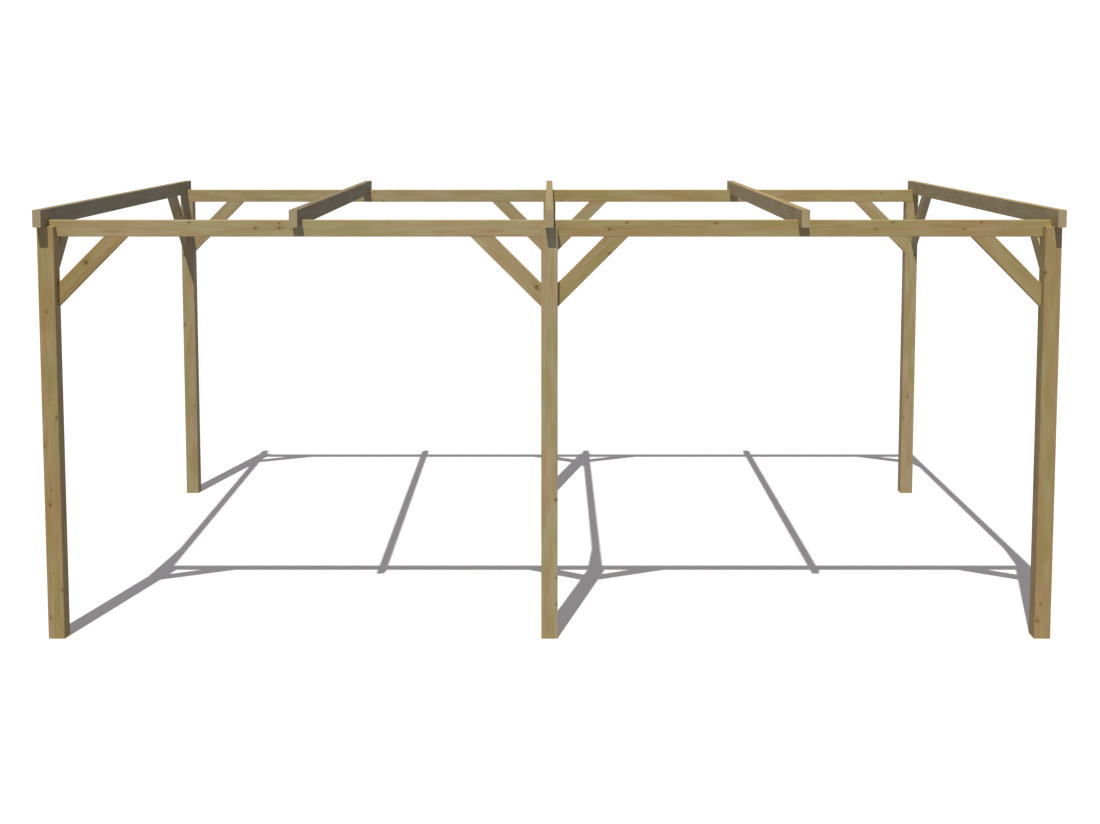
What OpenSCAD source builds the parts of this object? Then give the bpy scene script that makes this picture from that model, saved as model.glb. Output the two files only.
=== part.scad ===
// Open timber carport. Two rows of three posts carry a pair of beams each, five
// rafters are notched over the beams, and knee braces stiffen the corners.
// The origin is on the ground at the middle of the frame. X runs along the beams,
// Y from the front row to the back row, and Z up.

/* [Plan] */
// Width of the frame over its outer posts
frame_w = 5550; // [4200:10:7200]
// Depth of the frame over its front and back posts
frame_d = 3165; // [2600:5:6000]

/* [Posts] */
// Side of the square posts
post_w = 90; // [80:1:140]
// Height of the post shoulders, which is the clear height under the beams
clear_h = 2232; // [1900:1:3000]

/* [Beams] */
// Thickness of the beams
beam_t = 45; // [35:1:60]
// Height of the beams
beam_h = 90; // [80:1:220]
// Gap between the two beam ends that meet on a centre post
beam_end_gap = 2; // [0:0.5:10]

/* [Rafters] */
// Thickness of the rafters
rafter_t = 45; // [35:1:75]
// Height of the rafters
rafter_h = 95; // [80:1:220]
// Length of rafter that stands out past the posts, at the front and at the back
rafter_overhang = 60; // [0:5:400]
// Depth of the notch that drops a rafter over a beam
notch_depth = 32; // [10:1:50]
// Play on each side of the beam in a rafter notch
notch_play = 1; // [0:0.5:3]

/* [Knee braces] */
// Thickness of the braces
brace_t = 45; // [35:1:45]
// Width of the brace boards
brace_w = 90; // [70:1:120]
// Reach of a brace along the post and along the timber above it
brace_reach = 385; // [300:5:800]

/* [Finish] */
// Radius of the rounded long edges of the planed timber
edge_r = 3; // [0.5:0.5:8]

/* [Hidden] */

// Flat steps that make up each rounded long edge
EDGE_STEPS = 3;
POST_COLOUR = [0.50, 0.39, 0.20];
BEAM_COLOUR = [0.52, 0.41, 0.22];
RAFTER_COLOUR = [0.50, 0.40, 0.24];
BRACE_COLOUR = [0.51, 0.40, 0.21];

// The outer part of a post rises as a tongue in front of the beam
tongue_t = post_w - beam_t;
// Beams fill the inner part of the post heads, flush with the posts' inner faces
beam_y = frame_d / 2 - tongue_t - beam_t / 2;
beam_top = clear_h + beam_h;
beam_l = (frame_w - beam_end_gap) / 2;
// Rafters rest on the tongues, with their notches down over the beams
rafter_z = beam_top - notch_depth;
rafter_l = frame_d + 2 * rafter_overhang;
// Centre lines of the corner posts and of the rafters above them
corner_x = (frame_w - post_w) / 2;
end_rafter_x = (frame_w - rafter_t) / 2;
post_y = (frame_d - post_w) / 2;

// Outline of a planed timber, w wide and h high, with rounded long edges
function timber_points(w, h) = [
    for (corner = [0 : 3], step = [0 : EDGE_STEPS])
        let (
            angle = 90 * (corner + step / EDGE_STEPS),
            side_x = corner == 0 || corner == 3 ? 1 : -1,
            side_y = corner < 2 ? 1 : -1
        )
        [side_x * (w / 2 - edge_r) + edge_r * cos(angle),
         side_y * (h / 2 - edge_r) + edge_r * sin(angle)]
];

// Draws what is made for the front row, or its mirror image for the back row
module in_row(row) {
    if (row == "back") mirror([0, 1, 0]) children();
    else children();
}

// Draws what faces right, or its mirror image
module facing(side) {
    if (side == "left") mirror([1, 0, 0]) children();
    else children();
}

// Timber along X from the origin, t thick in Y and h high in Z about the axis
module timber_along_x(t, h, length, centred = false) {
    rotate([90, 0, 90])
        linear_extrude(length, center = centred) polygon(timber_points(t, h));
}

// Square post of the front row, its head rebated to a shoulder and a tongue
module post(x) {
    color(POST_COLOUR)
    translate([x, -post_y, 0])
    difference() {
        linear_extrude(rafter_z) polygon(timber_points(post_w, post_w));
        translate([-post_w, tongue_t - post_w / 2, clear_h])
            cube([2 * post_w, post_w, beam_h]);
    }
}

// Beam of the front row, from the gap at the centre post out to a corner post
module beam() {
    color(BEAM_COLOUR)
    translate([beam_end_gap / 2, -beam_y, clear_h + beam_h / 2])
        timber_along_x(beam_t, beam_h, beam_l);
}

// Rafter from front to back, with a notch for the beam of each row
module rafter(x) {
    notch_l = beam_t + 2 * notch_play;
    color(RAFTER_COLOUR)
    translate([x, 0, rafter_z])
    difference() {
        translate([0, 0, rafter_h / 2])
            rotate([0, 0, 90])
                timber_along_x(rafter_t, rafter_h, rafter_l, centred = true);
        for (y = [-beam_y, beam_y])
            translate([-rafter_t, y - notch_l / 2, -notch_depth])
                cube([2 * rafter_t, notch_l, 2 * notch_depth]);
    }
}

// Brace at 45 degrees in the corner under a horizontal timber, which is Z = 0, and
// beside a post face, which is X = 0. Both ends are cut to lie flat on them.
module knee_brace() {
    middle = (brace_reach - brace_w / sqrt(2)) / 2;
    color(BRACE_COLOUR)
    intersection() {
        translate([middle, 0, -middle])
            rotate([0, -45, 0])
                timber_along_x(brace_t, brace_w, 2 * brace_reach, centred = true);
        translate([0, -brace_t, -2 * brace_reach])
            cube([2 * brace_reach, 2 * brace_t, 2 * brace_reach]);
    }
}

// Brace from the right-hand face of a front post to the underside of its beam
module beam_brace(post_x) {
    translate([post_x + post_w / 2, -beam_y, clear_h]) knee_brace();
}

// Brace from the inner face of a front post to the underside of a rafter
module rafter_brace(x) {
    translate([x, post_w - frame_d / 2, rafter_z]) rotate([0, 0, 90]) knee_brace();
}

module front_left_post() in_row("front") post(-corner_x);
module front_centre_post() in_row("front") post(0);
module front_right_post() in_row("front") post(corner_x);
module back_left_post() in_row("back") post(-corner_x);
module back_centre_post() in_row("back") post(0);
module back_right_post() in_row("back") post(corner_x);

module front_left_beam() in_row("front") facing("left") beam();
module front_right_beam() in_row("front") facing("right") beam();
module back_left_beam() in_row("back") facing("left") beam();
module back_right_beam() in_row("back") facing("right") beam();

module left_end_rafter() rafter(-end_rafter_x);
module left_middle_rafter() rafter(-end_rafter_x / 2);
module centre_rafter() rafter(0);
module right_middle_rafter() rafter(end_rafter_x / 2);
module right_end_rafter() rafter(end_rafter_x);

// Corner posts brace inwards, so the right-hand ones are mirrored left-hand ones
module front_left_beam_brace() in_row("front") facing("right") beam_brace(-corner_x);
module front_right_beam_brace() in_row("front") facing("left") beam_brace(-corner_x);
module back_left_beam_brace() in_row("back") facing("right") beam_brace(-corner_x);
module back_right_beam_brace() in_row("back") facing("left") beam_brace(-corner_x);
// Centre posts brace both ways
module front_centre_left_beam_brace() in_row("front") facing("left") beam_brace(0);
module front_centre_right_beam_brace() in_row("front") facing("right") beam_brace(0);
module back_centre_left_beam_brace() in_row("back") facing("left") beam_brace(0);
module back_centre_right_beam_brace() in_row("back") facing("right") beam_brace(0);

module front_left_rafter_brace() in_row("front") rafter_brace(-end_rafter_x);
module front_centre_rafter_brace() in_row("front") rafter_brace(0);
module front_right_rafter_brace() in_row("front") rafter_brace(end_rafter_x);
module back_left_rafter_brace() in_row("back") rafter_brace(-end_rafter_x);
module back_centre_rafter_brace() in_row("back") rafter_brace(0);
module back_right_rafter_brace() in_row("back") rafter_brace(end_rafter_x);

front_left_post();
front_centre_post();
front_right_post();
back_left_post();
back_centre_post();
back_right_post();
front_left_beam();
front_right_beam();
back_left_beam();
back_right_beam();
left_end_rafter();
left_middle_rafter();
centre_rafter();
right_middle_rafter();
right_end_rafter();
front_left_beam_brace();
front_centre_left_beam_brace();
front_centre_right_beam_brace();
front_right_beam_brace();
back_left_beam_brace();
back_centre_left_beam_brace();
back_centre_right_beam_brace();
back_right_beam_brace();
front_left_rafter_brace();
front_centre_rafter_brace();
front_right_rafter_brace();
back_left_rafter_brace();
back_centre_rafter_brace();
back_right_rafter_brace();
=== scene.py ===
# %% [markdown]
# # An open timber carport
# Six square posts carry two rows of beams, five rafters lie across them, and knee braces
# stiffen the corners. Every timber comes from the CAD model at its real size and place, so
# this lesson is about light, camera and above all the wood: planed softwood that has been
# pressure treated against rot, which leaves it somewhere between olive green and tan.
#
# The frame is loaded first, because everything else is measured from it.

# %% Load the carport
import math
import random

import bpy
from mathutils import Euler, Matrix, Vector


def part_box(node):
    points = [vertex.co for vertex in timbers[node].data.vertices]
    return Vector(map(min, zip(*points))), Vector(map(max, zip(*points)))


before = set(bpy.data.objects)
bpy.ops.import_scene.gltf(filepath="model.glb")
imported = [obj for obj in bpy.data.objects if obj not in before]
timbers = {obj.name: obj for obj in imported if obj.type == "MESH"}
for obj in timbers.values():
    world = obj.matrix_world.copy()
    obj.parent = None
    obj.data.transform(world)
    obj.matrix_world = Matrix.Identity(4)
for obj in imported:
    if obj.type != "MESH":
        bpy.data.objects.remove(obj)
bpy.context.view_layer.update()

# %% [markdown]
# ## The viewpoint
# The picture is taken from in front, a little above the rafters, with the uprights standing
# straight in the frame. Tilting a camera down makes uprights lean outwards at the top, so an
# architectural photographer keeps it nearly level and slides the lens down instead. Blender
# calls this shift. Part of the view comes from shift here and the rest from a slight tilt, so
# that the object also stays inside the picture when the camera is carried round it. The far
# limit of a new camera, a kilometre, is brought in to a little past the ground.

# %% Place the camera
CAMERA_PLACE = (0, -9.405, 2.915)
CAMERA_TILT = math.radians(4.855)
LENS_LENGTH = 47.49
PHOTO_WIDTH = 1100
SLIDE_DOWN, SLIDE_RIGHT = 178, 0.55
FAR_LIMIT = 200
camera_data = bpy.data.cameras.new("camera")
camera_data.lens = LENS_LENGTH
camera_data.shift_x = SLIDE_RIGHT / PHOTO_WIDTH
camera_data.shift_y = -SLIDE_DOWN / PHOTO_WIDTH
camera_data.clip_end = FAR_LIMIT
camera = bpy.data.objects.new("camera", camera_data)
camera.location = CAMERA_PLACE
camera.rotation_euler = (math.pi / 2 - CAMERA_TILT, 0, 0)
bpy.context.scene.collection.objects.link(camera)
bpy.context.scene.camera = camera
print("Camera height in metres:", camera.location.z)

# %% [markdown]
# ## Helpers for node trees
# A procedural material is a tree of small nodes. Wired up one by one, they fill pages, so a
# few helpers keep the recipes short: one places a node, one feeds a socket with either a
# plain value or another node's output, and two wrap the kinds of node used most, sums and
# mixed colours.

# %% Helpers that place and feed nodes
def feed(tree, socket, source):
    """Gives a socket a plain value, or a link from another node's output."""
    if isinstance(source, bpy.types.NodeSocket):
        tree.links.new(source, socket)
    else:
        socket.default_value = source


def place_node(tree, kind, sources, **settings):
    """Adds a node, sets its options, and feeds its inputs by name or by number."""
    node = tree.nodes.new(kind)
    for option, value in settings.items():
        setattr(node, option, value)
    for socket, source in sources.items():
        feed(tree, node.inputs[socket], source)
    return node


def maths(tree, operation, *sources):
    """A sum on single values, such as ADD, MULTIPLY or MAXIMUM."""
    node = place_node(tree, "ShaderNodeMath", dict(enumerate(sources)), operation=operation)
    return node.outputs["Value"]


def mix_colours(tree, share, first, second, blend="MIX"):
    """Two colours mixed, or multiplied with blend="MULTIPLY"."""
    # The Mix node has sockets for numbers, vectors and colours: 6 and 7 are those for colours
    sources = {0: share, 6: first, 7: second}
    return place_node(tree, "ShaderNodeMix", sources, data_type="RGBA", blend_type=blend).outputs[2]


print("Helpers for nodes are ready")

# %% [markdown]
# ## The ground
# The carport stands on a plain white ground that takes its shadow. A white floor also throws
# light back up, more of it and warmer than the shaded sides of these timbers show. The Light
# Path node tells who is asking: the camera and reflections see the floor as white, while
# light that bounces on towards the timber meets a blue grey one. The same switch adds a faint
# warm glow for the camera, because the shadow on the ground is a neutral grey although the
# sky that lights it is bluish. The floor lies a hair below the posts' feet, because two
# surfaces at the same height would flicker through each other.

# %% Lay the floor
FLOOR_SEEN = (0.95, 0.93, 0.93, 1)
FLOOR_GLOW = (0.120, 0.090, 0.0, 1)
FLOOR_BOUNCE = (0.350, 0.377, 0.520, 1)
BLACK = (0, 0, 0, 1)
FLOOR_HALF_SIDE = 60
FLOOR_GAP = 0.0005


def seen_directly(tree):
    """1 for rays from the camera and for those that reflect or pass through something, else 0."""
    path = tree.nodes.new("ShaderNodeLightPath").outputs
    seen = maths(tree, "MAXIMUM", path["Is Camera Ray"], path["Is Glossy Ray"])
    return maths(tree, "MAXIMUM", seen, path["Is Transmission Ray"])


def new_material(name):
    """A new material, its node tree, and the inputs of the Principled BSDF in it."""
    material = bpy.data.materials.new(name)
    material.use_nodes = True
    tree = material.node_tree
    return material, tree, tree.nodes["Principled BSDF"].inputs


floor_material, tree, shader = new_material("white_ground")
seen = seen_directly(tree)
feed(tree, shader["Base Color"], mix_colours(tree, seen, FLOOR_BOUNCE, FLOOR_SEEN))
feed(tree, shader["Emission Color"], mix_colours(tree, seen, BLACK, FLOOR_GLOW))
shader["Emission Strength"].default_value = 1.0
shader["Roughness"].default_value = 1.0
shader["Specular IOR Level"].default_value = 0.0

floor_mesh = bpy.data.meshes.new("floor")
corner_signs = ((-1, -1), (1, -1), (1, 1), (-1, 1))
corners = [(x * FLOOR_HALF_SIDE, y * FLOOR_HALF_SIDE, -FLOOR_GAP) for x, y in corner_signs]
floor_mesh.from_pydata(corners, [], [(0, 1, 2, 3)])
floor = bpy.data.objects.new("floor", floor_mesh)
floor.data.materials.append(floor_material)
bpy.context.scene.collection.objects.link(floor)
print("Floor side in metres:", 2 * FLOOR_HALF_SIDE)

# %% [markdown]
# ## Sun and sky
# The picture is lit like a model on a drawing board: one sun from behind the viewer's left
# shoulder, high up, and an even sky that fills the shade. A sun lamp gives parallel light, and
# its angle sets how soft the shadow edges are. The sky is a plain world colour. The camera
# sees that world as white, which makes the background.

# %% Light the scene
SUN_TRAVEL = Vector((0.306, 1.2, -2.3))
SUN_STRENGTH = 3.25
SUN_COLOUR = (1.0, 0.97, 0.90)
SUN_WIDTH = math.radians(0.4)
SKY_LIGHT = (0.150, 0.177, 0.300, 1)
SKY_SEEN = (1.05, 1.05, 1.05, 1)

sun_data = bpy.data.lights.new("sun", "SUN")
sun_data.energy = SUN_STRENGTH
sun_data.color = SUN_COLOUR
sun_data.angle = SUN_WIDTH
sun = bpy.data.objects.new("sun", sun_data)
sun.rotation_euler = SUN_TRAVEL.to_track_quat("-Z", "Y").to_euler()
bpy.context.scene.collection.objects.link(sun)

world = bpy.data.worlds.new("sky")
bpy.context.scene.world = world
world.use_nodes = True
sky = world.node_tree
sky_colour = mix_colours(sky, seen_directly(sky), SKY_LIGHT, SKY_SEEN)
feed(sky, sky.nodes["Background"].inputs["Color"], sky_colour)
bpy.context.scene.view_settings.view_transform = "Standard"
sun_height = math.degrees(math.asin(-SUN_TRAVEL.normalized().z))
print("Sun height above the horizon in degrees:", round(sun_height, 1))

# %% [markdown]
# ## Helpers for wood
# Every effect of the wood below becomes a node group, which is a recipe with named inputs and
# outputs that any material can place with its own values. One helper opens such a group. The
# others wrap what wood needs again and again: sums on vectors, soft steps, and noise that is
# stretched along the grain, because wood looks drawn out in one direction.

# %% Helpers for groups and patterns
SOCKETS = {"value": "NodeSocketFloat", "vector": "NodeSocketVector", "colour": "NodeSocketColor"}


def start_group(name, inputs, outputs):
    """A node group with named sockets. Returns its tree, what comes in and what goes out."""
    tree = bpy.data.node_groups.new(name, "ShaderNodeTree")
    for socket, kind in inputs.items():
        tree.interface.new_socket(name=socket, in_out="INPUT", socket_type=SOCKETS[kind])
    for socket, kind in outputs.items():
        tree.interface.new_socket(name=socket, in_out="OUTPUT", socket_type=SOCKETS[kind])
    given = tree.nodes.new("NodeGroupInput").outputs
    result = tree.nodes.new("NodeGroupOutput").inputs
    return tree, given, result


def vectors(tree, operation, *sources):
    """A sum on vectors, such as SUBTRACT, MULTIPLY or LENGTH."""
    node = place_node(tree, "ShaderNodeVectorMath", dict(enumerate(sources)), operation=operation)
    single = operation in ("LENGTH", "DOT_PRODUCT")
    return node.outputs["Value" if single else "Vector"]


def scaled(tree, vector, amount):
    """A vector times one number."""
    node = place_node(tree, "ShaderNodeVectorMath", {0: vector, "Scale": amount}, operation="SCALE")
    return node.outputs["Vector"]


def fade(tree, value, start, end):
    """A soft step: 0 at start and 1 at end. With start above end it falls instead of rising."""
    sources = {"Value": value, "From Min": start, "From Max": end}
    return place_node(tree, "ShaderNodeMapRange", sources, interpolation_type="SMOOTHSTEP").outputs[0]


def spread(tree, value, low, high):
    """Stretches a value between 0 and 1 over another range."""
    sources = {"Value": value, "To Min": low, "To Max": high}
    return place_node(tree, "ShaderNodeMapRange", sources).outputs[0]


def noise(tree, place, along, across, detail=2.0, output="Fac"):
    """Noise with so many lumps a metre along the grain and across it, and finer ones by detail."""
    stretched = vectors(tree, "MULTIPLY", place, (along, across, across))
    sources = {"Vector": stretched, "Scale": 1.0, "Detail": detail}
    return place_node(tree, "ShaderNodeTexNoise", sources).outputs[output]


print("Socket kinds:", ", ".join(SOCKETS))

# %% [markdown]
# ## Growth rings
# Each year a tree adds a pale layer in spring and a thin darker one in summer, so a log is
# a stack of cylinders round its heart. Planks cut out of it show those cylinders as arcs on
# the ends, as straight lines on some faces and as long flames on others. A wave texture on
# each face could fake one of these, but measuring the distance from the heart gives all of
# them at once, and they meet at the edges. A slow noise bends the trunk a little, which is
# what makes the flames, and a second one frays the lines. Fat and lean years come from a third
# one, and each summer gets its own strength.

# %% Group for growth rings
ACROSS_THE_GRAIN = (0, 1, 1)
NOISE_MIDDLE = (0.5, 0.5, 0.5)
TRUNK_BEND, BEND_LUMPS = 0.034, (0.8, 4.0)
LINE_FRAY, FRAY_LUMPS = 0.0022, (7.0, 60.0)
LEAN_YEARS, LEAN_PACE = 1.6, 0.31
SUMMER_COMES, SUMMER_GOES = (0.30, 0.92), (1.0, 0.95)
SUMMER_STRENGTHS = (0.45, 1.0)
tree, given, result = start_group(
    "Growth rings",
    {"Place": "vector", "In Log": "vector", "Heart": "vector", "Ring Width": "value", "Swell": "value"},
    {"Late Wood": "value", "Depth": "value"},
)


def wobble(tree, place, lumps, amount):
    """A push this way and that, in all three directions."""
    lumpy = noise(tree, place, *lumps, output="Color")
    return scaled(tree, vectors(tree, "SUBTRACT", lumpy, NOISE_MIDDLE), amount)


bend = wobble(tree, given["In Log"], BEND_LUMPS, TRUNK_BEND)
fray = wobble(tree, given["In Log"], FRAY_LUMPS, LINE_FRAY)
bent_place = vectors(tree, "ADD", vectors(tree, "ADD", given["Place"], bend), fray)
from_heart = vectors(tree, "SUBTRACT", bent_place, given["Heart"])
depth = vectors(tree, "LENGTH", vectors(tree, "MULTIPLY", from_heart, ACROSS_THE_GRAIN))
years = maths(tree, "DIVIDE", maths(tree, "ADD", depth, given["Swell"]), given["Ring Width"])
slow_years = {"W": maths(tree, "MULTIPLY", years, LEAN_PACE), "Scale": 1.0}
lean = place_node(tree, "ShaderNodeTexNoise", slow_years, noise_dimensions="1D").outputs["Fac"]
years = maths(tree, "ADD", years, maths(tree, "MULTIPLY", lean, LEAN_YEARS))
season = maths(tree, "FRACT", years)
summer = maths(tree, "MULTIPLY", fade(tree, season, *SUMMER_COMES), fade(tree, season, *SUMMER_GOES))
year_number = {"W": maths(tree, "FLOOR", years)}
year_dice = place_node(tree, "ShaderNodeTexWhiteNoise", year_number, noise_dimensions="1D")
year_luck = year_dice.outputs["Value"]
late_wood = maths(tree, "MULTIPLY", summer, spread(tree, year_luck, *SUMMER_STRENGTHS))
feed(tree, result["Late Wood"], late_wood)
feed(tree, result["Depth"], depth)
print("Growth rings:", len(tree.nodes), "nodes")

# %% [markdown]
# ## Knots
# A knot is the foot of a branch. It starts as a point at the heart and widens towards the
# bark, so it is a cone, and one knot can show as a round spot on one face and as a streak on
# the next. Spots painted on the faces would miss that. This group takes the spot where the
# branch meets the face, works out how far a point lies from the branch's axis, and compares
# that with the cone's radius there. It gives a dark core, a darker rim where the bark was,
# a resinous smear along the grain, and the swelling that pushes the rings aside. A branch
# that dies young is grown over, so its knot ends inside the wood and the bark side is clear:
# Length says how far it goes, where 1 is the spot itself. Several knots are chained: each
# group adds its own to what the last one passed on.
#
# The edges below are given in radii of the knot, the outer value first where a mask fades
# from the inside out.

# %% Group for one knot
BRANCH_RISE = 0.3
THINNEST = 0.02
KNOT_LUMPS, LUMPINESS = 130.0, (0.72, 1.28)
SMEARED = (0.38, 1.0, 1.0)
CORE_EDGE, HALO_EDGE, SWELL_EDGE = (1.12, 0.86), (3.0, 0.6), (4.0, 0.0)
RIM_INSIDE, RIM_OUTSIDE = (0.50, 0.95), (1.45, 1.0)
BRANCH_STARTS, GROWN_OVER = (0.0, 0.15), 0.12
knot_sockets = {"Core": "value", "Rim": "value", "Halo": "value", "Swell": "value"}
tree, given, result = start_group(
    "Knot",
    {"Place": "vector", "Heart": "vector", "Spot": "vector", "Radius": "value", "Length": "value",
     **knot_sockets},
    knot_sockets,
)
heart_to_spot = vectors(tree, "SUBTRACT", given["Spot"], given["Heart"])
outward = vectors(tree, "MULTIPLY", heart_to_spot, ACROSS_THE_GRAIN)
reach = vectors(tree, "LENGTH", outward)
rise = vectors(tree, "MULTIPLY", (BRANCH_RISE, 0, 0), scaled(tree, (1, 1, 1), reach))
branch = vectors(tree, "ADD", outward, rise)
branch_foot = vectors(tree, "SUBTRACT", given["Spot"], branch)
direction = vectors(tree, "NORMALIZE", branch)
from_foot = vectors(tree, "SUBTRACT", given["Place"], branch_foot)
up_branch = vectors(tree, "DOT_PRODUCT", from_foot, direction)
off_axis = vectors(tree, "SUBTRACT", from_foot, scaled(tree, direction, up_branch))
share_up = maths(tree, "DIVIDE", up_branch, vectors(tree, "LENGTH", branch))
cone = maths(tree, "MULTIPLY", given["Radius"], maths(tree, "MAXIMUM", share_up, THINNEST))
lumps = noise(tree, given["Place"], KNOT_LUMPS, KNOT_LUMPS, detail=1.0)
lumpy_cone = maths(tree, "DIVIDE", cone, spread(tree, lumps, *LUMPINESS))
near = maths(tree, "DIVIDE", vectors(tree, "LENGTH", off_axis), lumpy_cone)
off_smear = vectors(tree, "LENGTH", vectors(tree, "MULTIPLY", off_axis, SMEARED))
near_smear = maths(tree, "DIVIDE", off_smear, lumpy_cone)
before_end = maths(tree, "SUBTRACT", given["Length"], GROWN_OVER)
branch_goes_on = fade(tree, share_up, given["Length"], before_end)
branch_here = maths(tree, "MULTIPLY", fade(tree, share_up, *BRANCH_STARTS), branch_goes_on)
rim_band = maths(tree, "MULTIPLY", fade(tree, near, *RIM_INSIDE), fade(tree, near, *RIM_OUTSIDE))
halo = fade(tree, near_smear, *HALO_EDGE)
masks = {"Core": fade(tree, near, *CORE_EDGE), "Rim": rim_band, "Halo": halo}
for socket, mask in masks.items():
    own = maths(tree, "MULTIPLY", mask, branch_here)
    feed(tree, result[socket], maths(tree, "MAXIMUM", own, given[socket]))
push = maths(tree, "MULTIPLY", fade(tree, near, *SWELL_EDGE), branch_here)
swell = maths(tree, "MULTIPLY", push, cone)
feed(tree, result["Swell"], maths(tree, "ADD", swell, given["Swell"]))
print("Knot:", len(tree.nodes), "nodes")

# %% [markdown]
# ## The colour of treated pine
# The green preservative soaks deep into the open sapwood and hardly at all into the heart,
# and it runs along the grain. So the timber is streaked: golden bands a finger or two wide
# lie between paler, greyer ones, and a slower drift leads from olive to a faint pink. One
# colour ramp over the rings would be too regular. Here stretched noises make the streaks and
# the drift, the distance from the heart adds the brown core, and the summer wood and the
# knots darken the result. Sawn ends drink more and come out nearly alike on every board, with
# the rings standing out more clearly.
#
# All of these are looked up by the place in the log that the board was cut from. Looked up by
# the place on the board, every brace would carry the same streaks. Tints are multiplied into
# the board's own stock colour, while the colours of knots and sawn ends are laid over it.

# %% Tints, colours and how strongly they show
def paint(red, green, blue):
    """A colour as it is picked on a screen, from 0 to 255, turned into Blender's linear light."""
    linear = [(part / 255 / 12.92) if part < 11 else ((part / 255 + 0.055) / 1.055) ** 2.4
              for part in (red, green, blue)]
    return (*linear, 1.0)


PALE_TINT = (1.07, 1.10, 1.21, 1)
GOLDEN_TINT = (0.94, 0.915, 0.82, 1)
OLIVE_TINT = (0.965, 1.035, 0.99, 1)
PINK_TINT = (1.035, 0.965, 1.01, 1)
HEART_TINT = (1.02, 0.96, 0.92, 1)
SUMMER_TINT = (0.80, 0.75, 0.64, 1)
HALO_TINT = (0.88, 0.82, 0.72, 1)
ARRIS_TINT = (1.08, 1.08, 1.08, 1)
KNOT_COLOUR, KNOT_SHARE = paint(122, 92, 52), 0.75
RIM_COLOUR, RIM_SHARE = paint(92, 68, 38), 0.55
END_COLOUR, END_SHARE = paint(190, 171, 127), 0.85
# Lumps a metre along the grain, across it, and how fine they get
WIDE_STREAKS, FINE_STREAKS, FINE_SHARE = (4.5, 24.0, 4.0), (6.0, 130.0), 0.3
GOLDEN_TO_PALE = (0.38, 0.64)
DRIFT_LUMPS, OLIVE_TO_PINK = (2.5, 28.0, 3.0), (0.38, 0.62)
ELSEWHERE = (7.3, 3.1, 5.7)
CLOUD_LUMPS, CLOUD_RANGE = (3.5, 12.0, 3.0), (0.92, 1.08)
HEART_EDGE, HEART_SHARE = (0.050, 0.022), 0.8
SUMMER_SHARES = (0.55, 1.0)
print("Sawn ends, linear colour:", [round(part, 3) for part in END_COLOUR[:3]])

# %% Group for the colour
tree, given, result = start_group(
    "Treated pine colour",
    {"In Log": "vector", "Stock": "colour", "Late Wood": "value", "Depth": "value", "Sawn End": "value",
     "Arris": "value", "Core": "value", "Rim": "value", "Halo": "value"},
    {"Colour": "colour"},
)


def tinted(tree, colour, tint, share=1.0):
    """A colour multiplied with a tint, as far as the share says."""
    return mix_colours(tree, share, colour, tint, "MULTIPLY")


wide_streaks = noise(tree, given["In Log"], *WIDE_STREAKS)
fine_streaks = noise(tree, given["In Log"], *FINE_STREAKS)
both_streaks = {0: FINE_SHARE, 2: wide_streaks, 3: fine_streaks}
streaks = place_node(tree, "ShaderNodeMix", both_streaks).outputs[0]
streak_tint = mix_colours(tree, fade(tree, streaks, *GOLDEN_TO_PALE), GOLDEN_TINT, PALE_TINT)
elsewhere = vectors(tree, "ADD", given["In Log"], ELSEWHERE)
drift = fade(tree, noise(tree, elsewhere, *DRIFT_LUMPS), *OLIVE_TO_PINK)
colour = tinted(tree, streak_tint, mix_colours(tree, drift, OLIVE_TINT, PINK_TINT))
colour = tinted(tree, colour, given["Stock"])
heartwood = maths(tree, "MULTIPLY", fade(tree, given["Depth"], *HEART_EDGE), HEART_SHARE)
colour = tinted(tree, colour, HEART_TINT, heartwood)
clouds = spread(tree, noise(tree, given["In Log"], *CLOUD_LUMPS), *CLOUD_RANGE)
cloudy = place_node(tree, "ShaderNodeCombineColor", {part: clouds for part in range(3)}).outputs[0]
colour = tinted(tree, colour, cloudy)
colour = mix_colours(tree, maths(tree, "MULTIPLY", given["Sawn End"], END_SHARE), colour, END_COLOUR)
ring_share = spread(tree, given["Sawn End"], *SUMMER_SHARES)
colour = tinted(tree, colour, SUMMER_TINT, maths(tree, "MULTIPLY", given["Late Wood"], ring_share))
colour = tinted(tree, colour, ARRIS_TINT, given["Arris"])
colour = tinted(tree, colour, HALO_TINT, given["Halo"])
colour = mix_colours(tree, maths(tree, "MULTIPLY", given["Core"], KNOT_SHARE), colour, KNOT_COLOUR)
colour = mix_colours(tree, maths(tree, "MULTIPLY", given["Rim"], RIM_SHARE), colour, RIM_COLOUR)
feed(tree, result["Colour"], colour)
print("Treated pine colour:", len(tree.nodes), "nodes")

# %% [markdown]
# ## The surface under the fingers
# Planed pine isn't smooth. Its fibres leave hairline grooves, the hard summer wood stands a
# little proud, and the planer's knives leave faint ripples across the board. Sawn ends are
# rough all over. The group gives a height in millimetres for the material's Bump node, and a
# roughness that follows the same features: knots are polished by resin and ends are dull.

# %% Group for the surface
FIBRE_LUMPS, FIBRE_HEIGHT = (14.0, 900.0), 0.16
PLANER_STEP, RIPPLE_HEIGHT = 0.0028, 0.006
SUMMER_HEIGHT, KNOT_HEIGHT = 0.07, 0.10
SAW_LUMPS, SAW_HEIGHT = (1400.0, 500.0), 0.35
END_RING_HEIGHT = 0.10
ROUGHNESS_RANGE, DULL_END, POLISHED_KNOT = (0.70, 0.86), 0.12, -0.18
tree, given, result = start_group(
    "Planed surface",
    {"In Log": "vector", "Late Wood": "value", "Sawn End": "value", "Core": "value"},
    {"Roughness": "value", "Height": "value"},
)
fibres = noise(tree, given["In Log"], *FIBRE_LUMPS)
along_board = place_node(tree, "ShaderNodeSeparateXYZ", {0: given["In Log"]}).outputs["X"]
ripple = maths(tree, "SINE", maths(tree, "MULTIPLY", along_board, 2 * math.pi / PLANER_STEP))
planed_height = maths(tree, "MULTIPLY", fibres, FIBRE_HEIGHT)
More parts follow.
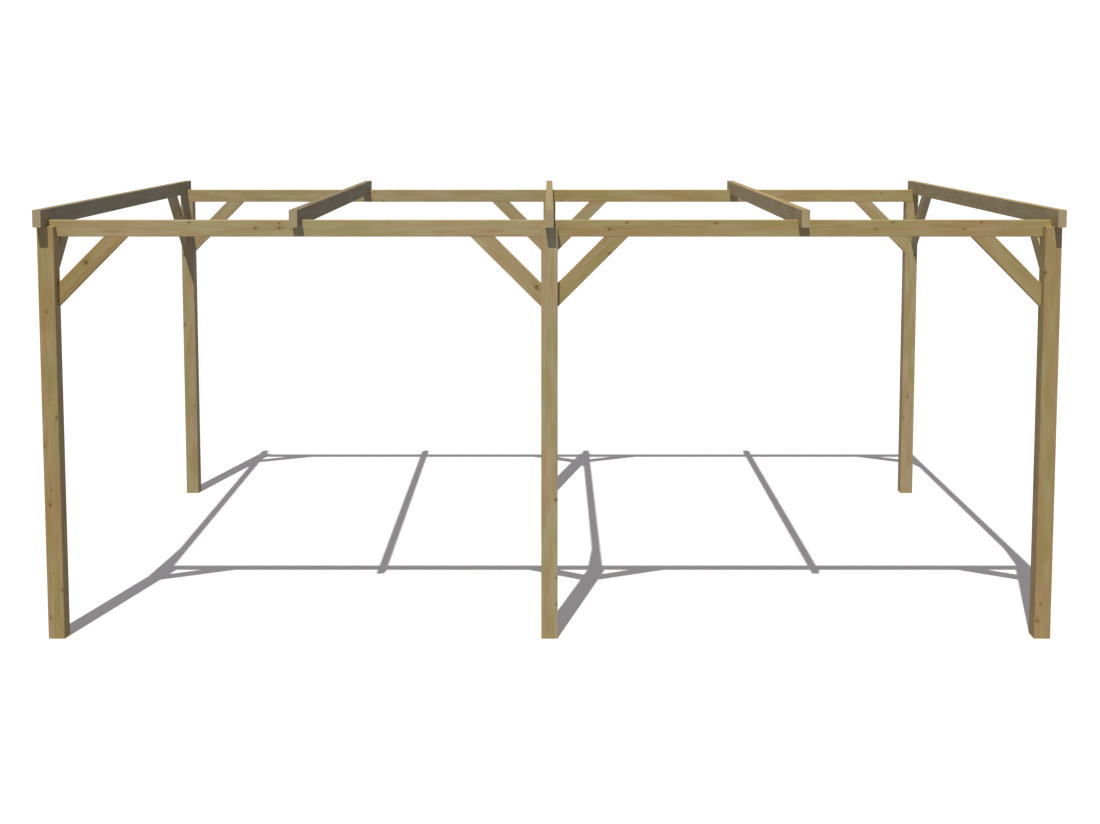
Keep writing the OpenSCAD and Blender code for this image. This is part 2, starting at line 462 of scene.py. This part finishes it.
planed_height = maths(tree, "MULTIPLY_ADD", ripple, RIPPLE_HEIGHT, planed_height)
planed_height = maths(tree, "MULTIPLY_ADD", given["Late Wood"], SUMMER_HEIGHT, planed_height)
planed_height = maths(tree, "MULTIPLY_ADD", given["Core"], KNOT_HEIGHT, planed_height)
sawn_height = maths(tree, "MULTIPLY", noise(tree, given["In Log"], *SAW_LUMPS), SAW_HEIGHT)
sawn_height = maths(tree, "MULTIPLY_ADD", given["Late Wood"], END_RING_HEIGHT, sawn_height)
both_heights = {0: given["Sawn End"], 2: planed_height, 3: sawn_height}
feed(tree, result["Height"], place_node(tree, "ShaderNodeMix", both_heights).outputs[0])
planed_roughness = spread(tree, fibres, *ROUGHNESS_RANGE)
roughness = maths(tree, "MULTIPLY_ADD", given["Sawn End"], DULL_END, planed_roughness)
roughness = maths(tree, "MULTIPLY_ADD", given["Core"], POLISHED_KNOT, roughness)
feed(tree, result["Roughness"], roughness)
print("Planed surface:", len(tree.nodes), "nodes")

# %% [markdown]
# ## Ends and edges
# Two masks tell the colour where it is on the timber. An end is sawn across the grain, so its
# surface faces along the board: the normal compared with the board's direction finds it. The
# cuts of a brace lie at 45 degrees to its grain and count as ends too. The long edges are
# rounded by the planer and rub paler in handling. They lie where a point is near the limit of
# the section both ways at once.

# %% Groups for sawn ends and worn edges
END_FACING = (0.55, 0.68)
tree, given, result = start_group("Sawn end", {"Normal": "vector", "Along": "vector"}, {"Mask": "value"})
facing = maths(tree, "ABSOLUTE", vectors(tree, "DOT_PRODUCT", given["Normal"], given["Along"]))
feed(tree, result["Mask"], fade(tree, facing, *END_FACING))

WORN_STRIP = (0.0035, 0.0005)
RUB_LUMPS, RUB_RANGE = (9.0, 120.0), (0.5, 1.9)
edge_sockets = {"Place": "vector", "Half Section": "vector"}
tree, given, result = start_group("Worn edge", edge_sockets, {"Mask": "value"})
edge_gap = vectors(tree, "SUBTRACT", given["Half Section"], vectors(tree, "ABSOLUTE", given["Place"]))
gap_parts = place_node(tree, "ShaderNodeSeparateXYZ", {0: edge_gap}).outputs
farther_gap = maths(tree, "MAXIMUM", gap_parts["Y"], gap_parts["Z"])
rub = spread(tree, noise(tree, given["Place"], *RUB_LUMPS), *RUB_RANGE)
feed(tree, result["Mask"], fade(tree, maths(tree, "MULTIPLY", farther_gap, rub), *WORN_STRIP))
print("Masks: Sawn end, Worn edge")

# %% [markdown]
# ## How each timber lies
# The wood groups work in a board's own terms: X along the grain, Y and Z across it, zero at
# the middle. A Mapping node of the texture kind turns the object's coordinates into those.
# It needs the middle of each board and the turn that lays the X axis along it: posts stand
# up, rafters run to the back, and braces climb at 45 degrees. A brace's box is larger than
# its board, so its middle is worked out from the corner that it braces.

# %% Find each board's middle and direction
BRACE_WIDTH = 0.09
LEVEL, UPRIGHT, CLIMBING = 0.0, -math.pi / 2, -math.pi / 4
TO_THE_RIGHT, TO_THE_BACK, TO_THE_LEFT, TO_THE_FRONT = 0.0, math.pi / 2, math.pi, -math.pi / 2


def brace_turn(name):
    """Which way a brace climbs away from its post."""
    row, side = name.split("_")[:2]
    if name.endswith("_rafter_brace"):
        return TO_THE_BACK if row == "front" else TO_THE_FRONT
    rightward = side == "left" or "_centre_right_" in name
    return TO_THE_RIGHT if rightward else TO_THE_LEFT


def board_lie(name):
    """A board's tilt and turn, its middle, and half its section across the grain."""
    low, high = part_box(name)
    middle = (low + high) / 2
    size = high - low
    if name.endswith("_post"):
        return UPRIGHT, TO_THE_RIGHT, middle, (size.y / 2, size.x / 2)
    if name.endswith("_beam"):
        return LEVEL, TO_THE_RIGHT, middle, (size.y / 2, size.z / 2)
    if name.endswith("_rafter"):
        return LEVEL, TO_THE_BACK, middle, (size.x / 2, size.z / 2)
    # A brace: the middle of its board lies nearer to the corner than the middle of its box
    turn = brace_turn(name)
    away = Vector((math.cos(turn), math.sin(turn), 0))
    shift = BRACE_WIDTH / math.sqrt(2) / 2
    middle = middle - away * shift + Vector((0, 0, shift))
    thickness = min(size.x, size.y)
    return CLIMBING, turn, middle, (thickness / 2, BRACE_WIDTH / 2)


*_, beam_section = board_lie("front_left_beam")
print("Half section of a beam in metres:", [round(half, 4) for half in beam_section])

# %% [markdown]
# ## Which board is which
# No two boards are alike. Some of these are warmer, some paler and some duller, so a few stock
# colours are shared out among them. The knots that the front shows are placed one by one: how
# far to the right of the frame's middle and how far above the ground, in metres, and one of
# four sizes. The other faces get a few more, by a seeded random choice that comes out the
# same every time.

# %% Stock colours
WARM, GOLDEN = paint(176, 152, 97), paint(178, 156, 101)
COOL, PALE = paint(177, 157, 109), paint(183, 163, 113)
DULL, BROWN = paint(172, 151, 105), paint(163, 145, 97)
GREY, DARK = paint(156, 142, 105), paint(140, 127, 93)
STOCK = {
    WARM: ["front_left_post", "front_right_post", "front_left_beam_brace"],
    DULL: ["right_middle_rafter", "front_left_rafter_brace", "back_left_rafter_brace"],
    BROWN: ["centre_rafter"],
    GREY: ["left_end_rafter"],
    DARK: ["left_middle_rafter"],
    GOLDEN: ["back_centre_post", "front_right_beam", "back_right_beam",
             "front_centre_right_beam_brace", "front_right_beam_brace"],
    PALE: ["front_centre_post", "back_right_post", "front_left_beam", "front_centre_left_beam_brace",
           "back_right_beam_brace"],
}
STOCK_OF = {name: colour for colour, names in STOCK.items() for name in names}
print("Boards of a stock of their own:", len(STOCK_OF), "and cool ones:", len(timbers) - len(STOCK_OF))

# %% Knots that the front shows
SPECK, PIN, SMALL, BIG = 0.0028, 0.0042, 0.006, 0.0085
SHOWN_KNOTS = {
    "front_left_post": [(-2.745, 0.755, SMALL), (-2.735, 1.825, PIN), (-2.69, 0.275, PIN),
                        (-2.695, 1.24, PIN), (-2.76, 0.12, PIN), (-2.765, 1.085, PIN),
                        (-2.735, 1.34, SPECK), (-2.735, 0.84, SPECK), (-2.735, 0.37, SPECK)],
    "front_centre_post": [(0.035, 0.785, SMALL), (0.04, 0.195, PIN), (0.04, 0.345, PIN)],
    "front_right_post": [(2.70, 0.10, SMALL), (2.715, 0.195, PIN), (2.69, 2.04, SMALL)],
    "back_left_post": [(-2.755, 1.83, SMALL), (-2.76, 1.30, SMALL), (-2.70, 0.68, PIN)],
    "back_right_post": [(2.755, 1.83, SMALL), (2.725, 0.75, SMALL), (2.70, 0.585, PIN)],
    "front_left_beam": [(-1.60, 2.28, SMALL), (-1.47, 2.28, SMALL), (-1.47, 2.305, PIN),
                        (-1.96, 2.31, PIN)],
    "front_right_beam": [(0.325, 2.275, SMALL), (0.42, 2.31, PIN), (0.905, 2.305, PIN),
                         (1.775, 2.275, PIN), (1.865, 2.31, PIN), (2.255, 2.275, PIN),
                         (2.35, 2.31, PIN)],
    "back_left_beam": [(-1.25, 2.24, PIN)],
    "back_right_beam": [(0.09, 2.245, PIN), (2.495, 2.295, PIN)],
    "front_left_beam_brace": [(-2.525, 2.09, BIG)],
    "front_centre_left_beam_brace": [(-0.07, 1.955, BIG)],
    "front_centre_right_beam_brace": [(0.33, 2.14, SMALL)],
}
print("Knots placed by hand:", sum(len(spots) for spots in SHOWN_KNOTS.values()))

# %% [markdown]
# ## Where the heart ran, and the other knots
# A sawmill cuts posts out of the middle of a log and boards out of the rest, so the heart runs
# inside each post and beside each board. It is kept away from the face that shows, as a
# joiner turns the better side out. Branches grow in whorls, one storey a year, so the hidden
# faces get a knot for each whorl, near the line of the heart, where branches start. These
# knots end a little past their spot, inside the wood, so that they don't come out at the
# front. The knots that are listed one by one run right through the board.

# %% Helpers for hearts and knots
POST_HEART_Y, POST_HEART_Z = (0.1, 0.9), (-0.7, 0.7)
BOARD_HEART_GAP, BOARD_HEART_Z = (0.015, 0.06), (-0.9, 0.9)
WHORL_STEP, WHORL_PLACE = 0.55, (0.2, 0.8)
KNOT_DRIFT, KNOT_LIMIT = (-0.7, 0.7), 0.8
SIDE_KNOT_Y = (-0.3, 0.8)
CHANCE_RADIUS = (0.003, 0.008)
KNOT_DEPTH = 0.018
RIGHT_THROUGH = 9.0


def heart_of(name, half_section, chance):
    """Where the tree's heart ran inside a post or beside a board, as the saw happened to cut it."""
    half_y, half_z = half_section
    if name.endswith("_post"):
        inside = chance.uniform(*POST_HEART_Y) * half_y
        return Vector((0, inside, chance.uniform(*POST_HEART_Z) * half_z))
    outside = half_y + chance.uniform(*BOARD_HEART_GAP)
    return Vector((0, outside, chance.uniform(*BOARD_HEART_Z) * half_z))


def chance_knots(name, length, half_section, heart, chance):
    """Knots on the faces that the front view hides: the back of a board, and the sides of a post."""
    half_y, half_z = half_section
    spots = []
    for step in range(int(length / WHORL_STEP)):
        whorl = step * WHORL_STEP - length / 2
        sideways = abs(heart.y - half_y) * chance.uniform(*KNOT_DRIFT)
        across = max(-KNOT_LIMIT * half_z, min(KNOT_LIMIT * half_z, heart.z + sideways))
        spots.append(Vector((whorl + chance.uniform(*WHORL_PLACE) * WHORL_STEP, half_y, across)))
        if name.endswith("_post"):
            for side in (-half_z, half_z):
                height = whorl + chance.uniform(*WHORL_PLACE) * WHORL_STEP
                spots.append(Vector((height, chance.uniform(*SIDE_KNOT_Y) * half_y, side)))
    return spots


def heart_and_knots(name, board, length, half_section, chance):
    """A board's heart, and all its knots as spot, radius and how far each one goes."""
    # The heart lies away from the face that shows: the front, or for rafters the inner side
    shown = Vector((0, -1, 0))
    if "rafter" in name:
        shown = Vector((-1 if board.translation.x > 0 else 1, 0, 0))
    to_board = board.inverted()
    away = -math.copysign(1, (to_board.to_3x3() @ shown).y)
    heart = heart_of(name, half_section, chance)
    spots = chance_knots(name, length, half_section, heart, chance)
    for point in (heart, *spots):
        point.y *= away
    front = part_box(name)[0].y
    knots = [(to_board @ Vector((x, front, z)), radius, RIGHT_THROUGH)
             for x, z, radius in SHOWN_KNOTS.get(name, [])]
    for spot in spots:
        reach = math.hypot(spot.y - heart.y, spot.z - heart.z)
        knots.append((spot, chance.uniform(*CHANCE_RADIUS), 1 + KNOT_DEPTH / reach))
    return heart, knots


post_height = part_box("front_left_post")[1].z
print("Whorls of branches on a post:", int(post_height / WHORL_STEP))

# %% [markdown]
# ## One material a board
# Every board now gets its own material. It turns the coordinates into the board's own, passes
# them through its chain of knots, and puts the groups together. The Principled shader stays in
# the material itself, and what is the same all over, such as its low shine, is set straight
# on the shader's own socket.

# %% Helpers that place groups
def place_group(tree, name, sources):
    """Places a finished group in a tree and returns its outputs."""
    node = tree.nodes.new("ShaderNodeGroup")
    node.node_tree = bpy.data.node_groups[name]
    for socket, source in sources.items():
        feed(tree, node.inputs[socket], source)
    return node.outputs


def chain_knots(tree, place, heart, knots):
    """One knot group after the other, and what the last one gives."""
    passed_on = {socket: 0.0 for socket in knot_sockets}
    for spot, radius, reach in knots:
        knot = {"Place": place, "Heart": heart, "Spot": spot, "Radius": radius, "Length": reach}
        outputs = place_group(tree, "Knot", {**knot, **passed_on})
        passed_on = {socket: outputs[socket] for socket in knot_sockets}
    return passed_on


print("Groups to place:", ", ".join(group.name for group in bpy.data.node_groups))

# %% Build and hand out the wood materials
RING_WIDTH, RING_LUCK = 0.0042, (0.8, 1.25)
LOG_SIZE = 40.0
MILLIMETRE = 0.001
RELIEF_STRENGTH = 0.8
LOW_SHINE = 0.12


def wood_material(name):
    """The material of one board, and how many knots it has."""
    chance = random.Random(name)
    tilt, turn, middle, half_section = board_lie(name)
    low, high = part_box(name)
    board = Matrix.LocRotScale(middle, Euler((0, tilt, turn)), None)
    along = board.to_3x3() @ Vector((1, 0, 0))
    length = (high - low).length if tilt == CLIMBING else max(high - low)
    heart, knots = heart_and_knots(name, board, length, half_section, chance)
    cut_from = [chance.uniform(0, LOG_SIZE) for axis in range(3)]
    ring_width = RING_WIDTH * chance.uniform(*RING_LUCK)

    material, tree, shader = new_material(name + "_wood")
    coordinates = tree.nodes.new("ShaderNodeTexCoord").outputs
    lie = {"Vector": coordinates["Object"], "Location": middle, "Rotation": (0, tilt, turn)}
    place = place_node(tree, "ShaderNodeMapping", lie, vector_type="TEXTURE").outputs[0]
    in_log = vectors(tree, "ADD", place, cut_from)
    knot_masks = chain_knots(tree, place, heart, knots)
    swell = knot_masks.pop("Swell")
    log = {"Place": place, "In Log": in_log, "Heart": heart, "Ring Width": ring_width, "Swell": swell}
    rings = place_group(tree, "Growth rings", log)
    sawn_end = place_group(tree, "Sawn end", {"Normal": coordinates["Normal"], "Along": along})["Mask"]
    section = {"Place": place, "Half Section": (1, *half_section)}
    worn_edge = place_group(tree, "Worn edge", section)["Mask"]
    grain = {"In Log": in_log, "Late Wood": rings["Late Wood"], "Sawn End": sawn_end}
    tints = {"Stock": STOCK_OF.get(name, COOL), "Depth": rings["Depth"], "Arris": worn_edge}
    colour = place_group(tree, "Treated pine colour", {**grain, **tints, **knot_masks})["Colour"]
    surface = place_group(tree, "Planed surface", {**grain, "Core": knot_masks["Core"]})
    relief = {"Height": surface["Height"], "Distance": MILLIMETRE, "Strength": RELIEF_STRENGTH}
    bump = place_node(tree, "ShaderNodeBump", relief)
    feed(tree, shader["Base Color"], colour)
    feed(tree, shader["Roughness"], surface["Roughness"])
    feed(tree, shader["Normal"], bump.outputs["Normal"])
    shader["Specular IOR Level"].default_value = LOW_SHINE
    return material, len(knots)


knot_count = 0
for name, timber in sorted(timbers.items()):
    material, knots_here = wood_material(name)
    timber.material_slots[0].material = material
    knot_count += knots_here
print("Materials:", len(timbers), "knots in all:", knot_count)

# %% [markdown]
# ## Round edges that look round
# The planer rounds the long edges to a 3 mm radius, and the CAD model draws that round in
# three flat steps of 30 degrees. Smooth shading turns the steps into one curve, but it would
# also bend the light across the wide flat faces. So a small Geometry Nodes modifier smooths
# only where faces meet at a shallow angle: it takes off the normals that the mesh came with,
# merges points that lie on each other, and keeps the steep edges sharp. A Weighted Normal
# modifier then gives the wide faces the last word. Modifiers leave the CAD mesh as it is.

# %% Smooth the rounded edges
SHARP_ANGLE = math.radians(38)
WELD_DISTANCE = 0.00001
WIDE_FACE_WEIGHT = 100
smoother = bpy.data.node_groups.new("Smooth rounded edges", "GeometryNodeTree")
smoother.interface.new_socket(name="Geometry", in_out="INPUT", socket_type="NodeSocketGeometry")
smoother.interface.new_socket(name="Geometry", in_out="OUTPUT", socket_type="NodeSocketGeometry")
mesh_in = smoother.nodes.new("NodeGroupInput").outputs["Geometry"]
mesh_out = smoother.nodes.new("NodeGroupOutput").inputs["Geometry"]
own_normals = {"Geometry": mesh_in, "Name": "custom_normal"}
plain = place_node(smoother, "GeometryNodeRemoveAttribute", own_normals)
same_points = {"Geometry": plain.outputs[0], "Distance": WELD_DISTANCE}
welded = place_node(smoother, "GeometryNodeMergeByDistance", same_points)
all_faces = {"Geometry": welded.outputs[0], "Shade Smooth": True}
soft = place_node(smoother, "GeometryNodeSetShadeSmooth", all_faces, domain="FACE")
edge_angle = smoother.nodes.new("GeometryNodeInputMeshEdgeAngle").outputs["Unsigned Angle"]
is_steep = maths(smoother, "GREATER_THAN", edge_angle, SHARP_ANGLE)
steep_edges = {"Geometry": soft.outputs[0], "Selection": is_steep, "Shade Smooth": False}
crisp = place_node(smoother, "GeometryNodeSetShadeSmooth", steep_edges, domain="EDGE")
feed(smoother, mesh_out, crisp.outputs[0])
for timber in timbers.values():
    smoothing = timber.modifiers.new("Smooth rounded edges", "NODES")
    smoothing.node_group = smoother
    weighting = timber.modifiers.new("Flat faces stay flat", "WEIGHTED_NORMAL")
    weighting.keep_sharp = True
    weighting.weight = WIDE_FACE_WEIGHT
print("Timbers smoothed:", len(timbers))
